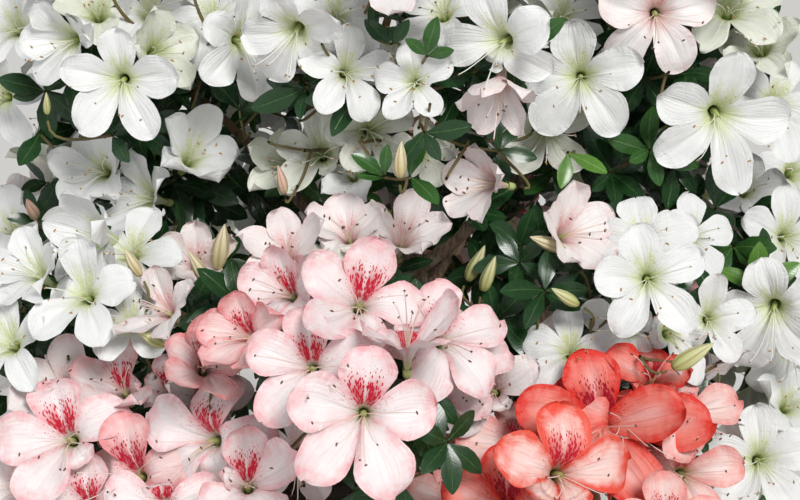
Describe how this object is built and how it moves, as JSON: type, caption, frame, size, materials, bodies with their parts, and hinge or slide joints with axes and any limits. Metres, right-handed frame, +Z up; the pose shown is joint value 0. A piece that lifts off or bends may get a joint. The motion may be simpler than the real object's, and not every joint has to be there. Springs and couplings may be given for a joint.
{
  "type": "potted azalea shrub",
  "caption": "Evergreen azalea in full flower in a plain tapered pot, with white, pale pink and coral blossom on a rounded leafy crown.",
  "frame": {"origin": "middle of the pot's flat underside", "axes": "+Z up along the plant, -Y towards the shrub's fullest side, +X to that side's right"},
  "size_m": [0.6689, 0.6034, 0.6588],
  "materials": {
    "pot": "matt fired clay, faintly banded from throwing, paler at the rim",
    "soil": "damp dark peat and fine bark",
    "bark": "thin grey-brown bark, finely fissured lengthwise",
    "leaf": "dark green, leathery, softly glossy, with a paler midrib",
    "white_blossom": "thin white petals with a yellow-green throat",
    "pink_blossom": "thin pale pink petals with a crimson-flecked upper lobe",
    "coral_blossom": "thin coral-red petals, paler in the middle, with dark flecks"
  },
  "bodies": {
    "root": {"pot": "pot", "soil": "soil", "trunk": "bark", "bough_lower_front": "bark", "bough_lower_front_right": "bark", "bough_lower_right": "bark", "bough_lower_back_right": "bark", "bough_lower_back": "bark", "bough_lower_back_left": "bark", "bough_lower_left": "bark", "bough_lower_front_left": "bark", "bough_upper_front": "bark", "bough_upper_right": "bark", "bough_upper_back_right": "bark", "bough_upper_back_left": "bark", "bough_upper_left": "bark", "foliage_lower_front": "pink_blossom", "foliage_lower_front_right": "coral_blossom", "foliage_lower_right": "white_blossom", "foliage_lower_back_right": "white_blossom", "foliage_lower_back": "pink_blossom", "foliage_lower_back_left": "white_blossom", "foliage_lower_left": "white_blossom", "foliage_lower_front_left": "pink_blossom", "foliage_upper_front": "white_blossom", "foliage_upper_right": "white_blossom", "foliage_upper_back_right": "white_blossom", "foliage_upper_back_left": "white_blossom", "foliage_upper_left": "white_blossom", "foliage_top": "white_blossom"}
  },
  "joints": []
}
